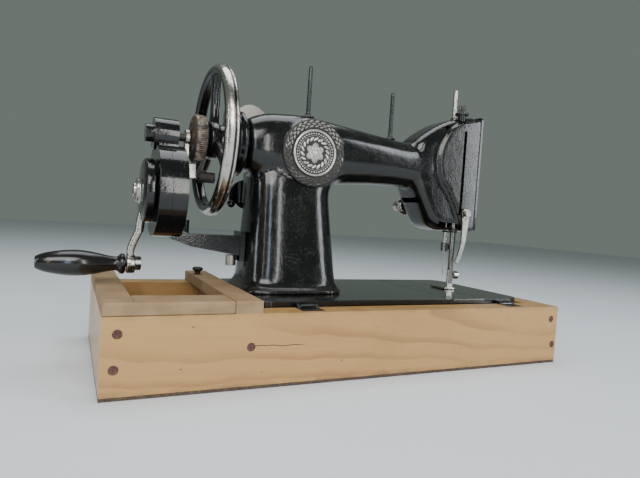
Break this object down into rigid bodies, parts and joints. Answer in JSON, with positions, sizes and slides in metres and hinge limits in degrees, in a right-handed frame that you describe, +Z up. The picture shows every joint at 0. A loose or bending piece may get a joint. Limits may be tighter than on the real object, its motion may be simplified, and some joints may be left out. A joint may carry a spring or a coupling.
{
  "type": "hand crank sewing machine",
  "caption": "Hand-crank lockstitch sewing machine with a black cast head and bed, spoked handwheel and geared crank, let into a plain wooden base with an open compartment.",
  "frame": {"origin": "on the supporting surface, under the middle of the machine's bed", "axes": "+X along the bed towards the handwheel and crank, +Y towards the back of the machine, +Z up"},
  "size_m": [0.605, 0.24, 0.359],
  "materials": {
    "black_enamel": "gloss black baked enamel, worn and pitted",
    "wheel_enamel": "gloss black enamel with a nickel-plated rim",
    "varnished_wood": "honey-coloured varnish over softwood",
    "raw_wood": "greyed unvarnished softwood",
    "fibreboard": "dark hardboard",
    "rusty_screws": "rusted steel",
    "dark_iron": "oil-dark iron",
    "polished_steel": "worn plated steel",
    "bright_nickel": "nickel plate with small rust pits",
    "blued_steel": "blackened steel",
    "black_cover": "black enamel, rubbed on the relief",
    "aged_silver": "aged silvered relief with dark patina",
    "black_grip": "turned wood, black lacquer",
    "leather_pad": "dark leather",
    "winder_rubber": "perished black rubber"
  },
  "bodies": {
    "base": {"base_rear_board": "varnished_wood", "base_front_board": "varnished_wood", "base_end_boards": "varnished_wood", "base_bottom_panel": "fibreboard", "base_screws": "rusty_screws", "base_partition_and_ledges": "raw_wood", "compartment_strips": "raw_wood", "base_cross_bar": "raw_wood", "base_hinges": "dark_iron"},
    "latch": {"cross_bar_knob": "dark_iron"},
    "head": {"bed": "black_enamel", "needle_plate": "polished_steel", "arm_casting": "black_enamel", "face_plate": "black_enamel", "rear_cover_plate": "black_cover", "rear_cover_medallion": "aged_silver", "spool_pins": "blued_steel", "machine_screws": "dark_iron", "pivot_studs": "dark_iron", "bushes": "dark_iron", "crank_bracket": "black_enamel", "crank_gear_cover": "black_enamel", "tension_discs": "polished_steel", "regulator_plate": "black_enamel"},
    "front_slide": {"front_slide_plate": "polished_steel"},
    "rear_slide": {"rear_slide_plate": "polished_steel"},
    "wheel": {"handwheel": "wheel_enamel", "arm_shaft": "polished_steel", "needle_bar_cam": "black_enamel"},
    "clutch": {"clutch_knob": "bright_nickel"},
    "crank": {"crank_gear": "dark_iron", "crank_arm": "bright_nickel", "crank_centre_screw": "bright_nickel", "grip_bolt": "polished_steel"},
    "grip": {"crank_grip": "black_grip"},
    "driver": {"driver_pinion": "dark_iron", "driver_link": "bright_nickel"},
    "finger": {"driver_finger": "bright_nickel", "driver_pad": "leather_pad"},
    "needle_bar_group": {"needle_bar": "polished_steel", "needle_bar_block": "polished_steel", "needle_clamp": "polished_steel", "needle": "polished_steel"},
    "presser": {"presser_bar": "polished_steel", "presser_foot": "polished_steel", "presser_spring": "polished_steel"},
    "pressure": {"pressure_screw": "blued_steel"},
    "lifter": {"presser_lifter": "polished_steel"},
    "take_up": {"take_up_lever": "polished_steel"},
    "tension": {"tension_nut": "bright_nickel"},
    "regulator": {"regulator_lever": "blued_steel"},
    "winder": {"winder_frame": "black_enamel"},
    "winder_rotor": {"winder_spindle": "bright_nickel", "winder_tyre": "winder_rubber"},
    "drive_rod": {"connecting_rod": "dark_iron"},
    "shuttle_group": {"shuttle_lever": "dark_iron", "shuttle": "polished_steel", "shuttle_bobbin": "polished_steel"},
    "feed": {"feed_bar": "dark_iron", "feed_dog": "polished_steel"}
  },
  "joints": [
    {"name": "knob_turn", "type": "hinge", "parent": "base", "child": "latch", "pos_m": [0.206, -0.082, 0.085], "axis": [0, 0, 1], "range_deg": [-90, 90]},
    {"name": "head_tilt", "type": "hinge", "parent": "base", "child": "head", "pos_m": [-0.0115, 0.0935, 0.073], "axis": [-1, 0, 0], "range_deg": [0, 90]},
    {"name": "front_plate_slide", "type": "slide", "parent": "head", "child": "front_slide", "axis": [0, -1, 0], "range_m": [0, 0.045]},
    {"name": "rear_plate_slide", "type": "slide", "parent": "head", "child": "rear_slide", "axis": [0, 1, 0], "range_m": [0, 0.004]},
    {"name": "wheel_turn", "type": "hinge", "parent": "head", "child": "wheel", "pos_m": [0.2, -0.004, 0.247], "axis": [1, 0, 0], "continuous": true},
    {"name": "clutch_release", "type": "hinge", "parent": "wheel", "child": "clutch", "pos_m": [0.23, -0.004, 0.247], "axis": [1, 0, 0], "range_deg": [0, 90]},
    {"name": "crank_turn", "type": "hinge", "parent": "head", "child": "crank", "pos_m": [0.27, -0.004, 0.186], "axis": [1, 0, 0], "continuous": true},
    {"name": "grip_turn", "type": "hinge", "parent": "crank", "child": "grip", "pos_m": [0.34, -0.004, 0.106], "axis": [1, 0, 0], "continuous": true},
    {"name": "driver_turn", "type": "hinge", "parent": "head", "child": "driver", "pos_m": [0.25, -0.004, 0.247], "axis": [1, 0, 0], "continuous": true},
    {"name": "finger_fold", "type": "hinge", "parent": "driver", "child": "finger", "pos_m": [0.2365, -0.004, 0.209], "axis": [0, -1, 0], "range_deg": [0, 60]},
    {"name": "needle_bar_stroke", "type": "slide", "parent": "head", "child": "needle_bar_group", "axis": [0, 0, 1], "range_m": [-0.033, 0]},
    {"name": "presser_lift", "type": "slide", "parent": "head", "child": "presser", "axis": [0, 0, 1], "range_m": [0, 0.009], "deforming": ["presser_spring"]},
    {"name": "pressure_turn", "type": "hinge", "parent": "head", "child": "pressure", "pos_m": [-0.127, 0.012, 0.33], "axis": [0, 0, 1], "range_deg": [-180, 180]},
    {"name": "lifter_swing", "type": "hinge", "parent": "head", "child": "lifter", "pos_m": [-0.134, 0.026, 0.186], "axis": [0, -1, 0], "range_deg": [0, 95]},
    {"name": "take_up_swing", "type": "hinge", "parent": "head", "child": "take_up", "pos_m": [-0.127, -0.016, 0.222], "axis": [1, 0, 0], "range_deg": [-28, 14]},
    {"name": "tension_turn", "type": "hinge", "parent": "head", "child": "tension", "pos_m": [-0.078, -0.055, 0.193], "axis": [0, 1, 0], "range_deg": [-180, 180]},
    {"name": "regulator_swing", "type": "hinge", "parent": "head", "child": "regulator", "pos_m": [0.15, -0.044, 0.206], "axis": [0, 1, 0], "range_deg": [-14, 14]},
    {"name": "winder_swing", "type": "hinge", "parent": "head", "child": "winder", "pos_m": [0.15, -0.044, 0.276], "axis": [0, 1, 0], "range_deg": [-4, 0]},
    {"name": "winder_spin", "type": "hinge", "parent": "winder", "child": "winder_rotor", "pos_m": [0.17, -0.0445, 0.283], "axis": [1, 0, 0], "continuous": true},
    {"name": "rod_stroke", "type": "slide", "parent": "head", "child": "drive_rod", "axis": [0, 0, 1], "range_m": [-0.0025, 0.0025]},
    {"name": "shuttle_swing", "type": "hinge", "parent": "head", "child": "shuttle_group", "pos_m": [0.052, -0.004, 0.048], "axis": [0, 0, 1], "range_deg": [-10, 10]},
    {"name": "feed_stroke", "type": "slide", "parent": "head", "child": "feed", "axis": [0, 1, 0], "range_m": [-0.0015, 0.0015]}
  ],
  "couplings": [
    {"joint": "wheel_turn", "follows": "crank_turn", "ratio": -3.2222},
    {"joint": "driver_turn", "follows": "crank_turn", "ratio": -3.2222},
    {"joint": "presser_lift", "follows": "lifter_swing", "m_per_rad": 0.005428}
  ]
}
